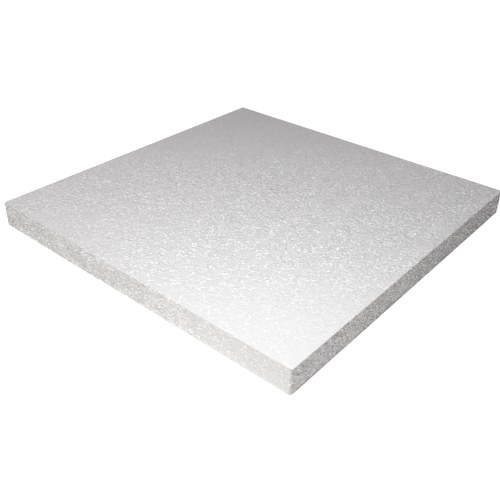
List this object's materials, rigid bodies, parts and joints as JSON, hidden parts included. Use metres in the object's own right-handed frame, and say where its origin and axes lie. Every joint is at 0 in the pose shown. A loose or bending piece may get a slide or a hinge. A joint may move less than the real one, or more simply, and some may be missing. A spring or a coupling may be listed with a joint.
{
  "type": "polystyrene foam sheet",
  "caption": "Square slab of white expanded polystyrene foam with flat faces and square-cut edges, for craft, insulation and packing.",
  "frame": {"origin": "centre of the underside, the face that the sheet lies on", "axes": "+Z through the thickness, up; X and Y along the sides of the square"},
  "size_m": [1, 1, 0.07],
  "materials": {
    "white_foam": "matte white, fine mottled bead grain with a faint sheen on each bead"
  },
  "bodies": {
    "root": {"foam_sheet": "white_foam"}
  },
  "joints": []
}
